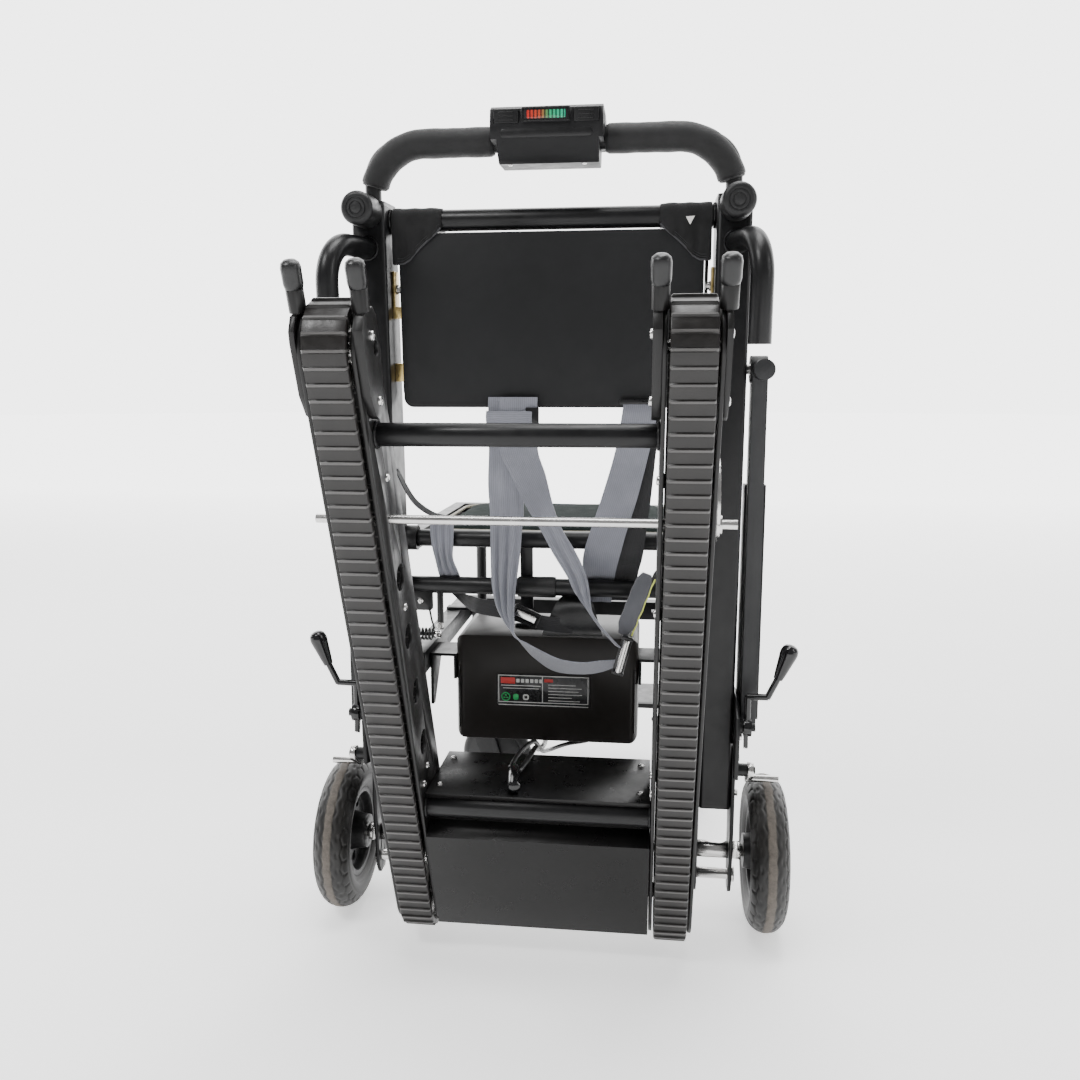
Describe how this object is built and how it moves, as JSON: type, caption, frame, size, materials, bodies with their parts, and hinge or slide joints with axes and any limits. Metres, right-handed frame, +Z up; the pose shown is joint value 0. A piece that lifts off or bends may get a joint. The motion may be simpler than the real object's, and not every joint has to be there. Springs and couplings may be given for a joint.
{
  "type": "stair chair",
  "caption": "Powered stair chair: a wheeled folding seat whose fold-out climbing tracks carry a seated person down or up stairs.",
  "frame": {"origin": "floor level, under the centre of the bounding box with the tracks folded out", "axes": "+Y the way the sitter faces, +X to the sitter's right, +Z up"},
  "size_m": [0.609, 0.948, 1.0182],
  "materials": {
    "powder_black": "satin",
    "powder_fine": "matte",
    "bright_steel": "satin",
    "zinc_brass": "satin",
    "black_rubber": "matte",
    "tyre_rubber": "matte",
    "belt_rubber": "satin",
    "foam": "matte",
    "black_plastic": "gloss",
    "grey_plastic": "matte",
    "board": "matte",
    "black_cloth": "matte",
    "seat_vinyl": "satin",
    "grey_webbing": "matte",
    "cable_jacket": "gloss",
    "cast_grey": "matte"
  },
  "bodies": {
    "chair": {"side_tube_l": "powder_black", "side_tube_r": "powder_black", "back_top_tube": "powder_black", "low_cross_tubes": "powder_black", "loop_handles": "powder_black", "rear_grips": "black_rubber", "tube_bushings": "grey_plastic", "back_board": "board", "back_cushion": "black_cloth", "corner_pockets": "black_cloth", "back_brackets": "zinc_brass", "axle_plates": "powder_black", "rear_axle": "bright_steel", "base_frame": "powder_black", "front_legs": "powder_black", "seat_posts": "powder_black", "battery_case": "black_plastic", "battery_label": "grey_plastic", "battery_bracket": "powder_black", "brake_brackets": "powder_black", "chair_bolts": "bright_steel", "straps_left": "grey_webbing", "strap_right": "grey_webbing", "buckles": "grey_plastic", "spring_latch": "bright_steel"},
    "track": {"track_plates_l": "powder_fine", "track_plates_r": "powder_fine", "belt_l": "belt_rubber", "belt_r": "belt_rubber", "guard_posts": "powder_fine", "guard_caps": "black_rubber", "track_tubes": "powder_black", "drive_housing": "powder_black", "drive_motor": "cast_grey", "power_cables": "cable_jacket"},
    "drive": {"drive_axle": "bright_steel"},
    "idler": {"idlers": "bright_steel"},
    "release": {"release_bar": "bright_steel"},
    "wheel_l": {"tyre_l": "tyre_rubber", "hub_l": "grey_plastic"},
    "wheel_r": {"tyre_r": "tyre_rubber", "hub_r": "grey_plastic"},
    "fork_l": {"caster_fork_l": "powder_black"},
    "fork_r": {"caster_fork_r": "powder_black"},
    "caster_l": {"caster_wheel_l": "black_rubber"},
    "caster_r": {"caster_wheel_r": "black_rubber"},
    "brake_l": {"brake_lever_l": "black_plastic"},
    "brake_r": {"brake_lever_r": "black_plastic"},
    "shoe_l": {"brake_shoe_l": "bright_steel"},
    "shoe_r": {"brake_shoe_r": "bright_steel"},
    "handle": {"handle_bar": "powder_black", "foam_sleeves": "foam", "control_box": "black_plastic"},
    "key_up": {"key_up": "black_plastic"},
    "key_down": {"key_down": "black_plastic"},
    "arm_l": {"armrest_l": "grey_plastic"},
    "arm_r": {"armrest_r": "grey_plastic"},
    "seat": {"seat_frame": "powder_black", "seat_pad": "seat_vinyl"},
    "footrest": {"footrest": "powder_black"}
  },
  "joints": [
    {"name": "track_fold", "type": "hinge", "parent": "chair", "child": "track", "pos_m": [0, -0.076, 0.1], "axis": [1, 0, 0], "range_deg": [-18, 0]},
    {"name": "release_turn", "type": "hinge", "parent": "track", "child": "release", "pos_m": [0, -0.36751, 0.57326], "axis": [1, 0, 0], "range_deg": [-47.4, 0]},
    {"name": "drive_spin", "type": "hinge", "parent": "track", "child": "drive", "pos_m": [0, -0.15002, 0.07818], "axis": [1, 0, 0], "continuous": true},
    {"name": "idler_spin", "type": "hinge", "parent": "track", "child": "idler", "pos_m": [0, -0.42954, 0.73532], "axis": [1, 0, 0], "continuous": true},
    {"name": "wheel_spin_l", "type": "hinge", "parent": "chair", "child": "wheel_l", "pos_m": [-0.2795, -0.076, 0.1], "axis": [1, 0, 0], "continuous": true},
    {"name": "wheel_spin_r", "type": "hinge", "parent": "chair", "child": "wheel_r", "pos_m": [0.2795, -0.076, 0.1], "axis": [1, 0, 0], "continuous": true},
    {"name": "caster_swivel_l", "type": "hinge", "parent": "chair", "child": "fork_l", "pos_m": [-0.165, 0.3167, 0.15], "axis": [0, 0, 1], "continuous": true},
    {"name": "caster_spin_l", "type": "hinge", "parent": "fork_l", "child": "caster_l", "pos_m": [-0.13529, 0.31252, 0.0625], "axis": [0.1392, 0.9903, 0], "continuous": true},
    {"name": "caster_swivel_r", "type": "hinge", "parent": "chair", "child": "fork_r", "pos_m": [0.165, 0.3167, 0.15], "axis": [0, 0, 1], "continuous": true},
    {"name": "caster_spin_r", "type": "hinge", "parent": "fork_r", "child": "caster_r", "pos_m": [0.18428, 0.29372, 0.0625], "axis": [0.766, 0.6428, 0], "continuous": true},
    {"name": "brake_lever_turn_l", "type": "hinge", "parent": "chair", "child": "brake_l", "pos_m": [-0.247, -0.128, 0.288], "axis": [1, 0, 0], "range_deg": [0, 30]},
    {"name": "brake_shoe_turn_l", "type": "hinge", "parent": "chair", "child": "shoe_l", "pos_m": [-0.252, -0.126, 0.232], "axis": [1, 0, 0], "range_deg": [-13, 0]},
    {"name": "brake_lever_turn_r", "type": "hinge", "parent": "chair", "child": "brake_r", "pos_m": [0.247, -0.128, 0.288], "axis": [1, 0, 0], "range_deg": [0, 30]},
    {"name": "brake_shoe_turn_r", "type": "hinge", "parent": "chair", "child": "shoe_r", "pos_m": [0.252, -0.126, 0.232], "axis": [1, 0, 0], "range_deg": [-13, 0]},
    {"name": "handle_lift", "type": "slide", "parent": "chair", "child": "handle", "axis": [0, -0.0523, 0.9986], "range_m": [0, 0.2]},
    {"name": "key_up_press", "type": "slide", "parent": "handle", "child": "key_up", "axis": [0, 0.9986, 0.0523], "range_m": [0, 0.0015], "stiffness_N_per_m": 800},
    {"name": "key_down_press", "type": "slide", "parent": "handle", "child": "key_down", "axis": [0, 0.9986, 0.0523], "range_m": [0, 0.0015], "stiffness_N_per_m": 800},
    {"name": "arm_raise_l", "type": "hinge", "parent": "chair", "child": "arm_l", "pos_m": [-0.247, -0.098, 0.723], "axis": [1, 0, 0], "range_deg": [0, 90]},
    {"name": "arm_raise_r", "type": "hinge", "parent": "chair", "child": "arm_r", "pos_m": [0.247, -0.098, 0.723], "axis": [1, 0, 0], "range_deg": [0, 90]},
    {"name": "seat_fold", "type": "hinge", "parent": "chair", "child": "seat", "pos_m": [0, -0.08642, 0.511], "axis": [1, 0, 0], "range_deg": [0, 75]},
    {"name": "footrest_fold", "type": "hinge", "parent": "chair", "child": "footrest", "pos_m": [0, 0.342, 0.33], "axis": [1, 0, 0], "range_deg": [0, 88]}
  ],
  "couplings": [
    {"joint": "release_turn", "follows": "track_fold", "ratio": 2.6},
    {"joint": "idler_spin", "follows": "drive_spin", "ratio": 1.3514},
    {"joint": "brake_shoe_turn_l", "follows": "brake_lever_turn_l", "ratio": -0.4333},
    {"joint": "brake_shoe_turn_r", "follows": "brake_lever_turn_r", "ratio": -0.4333}
  ]
}
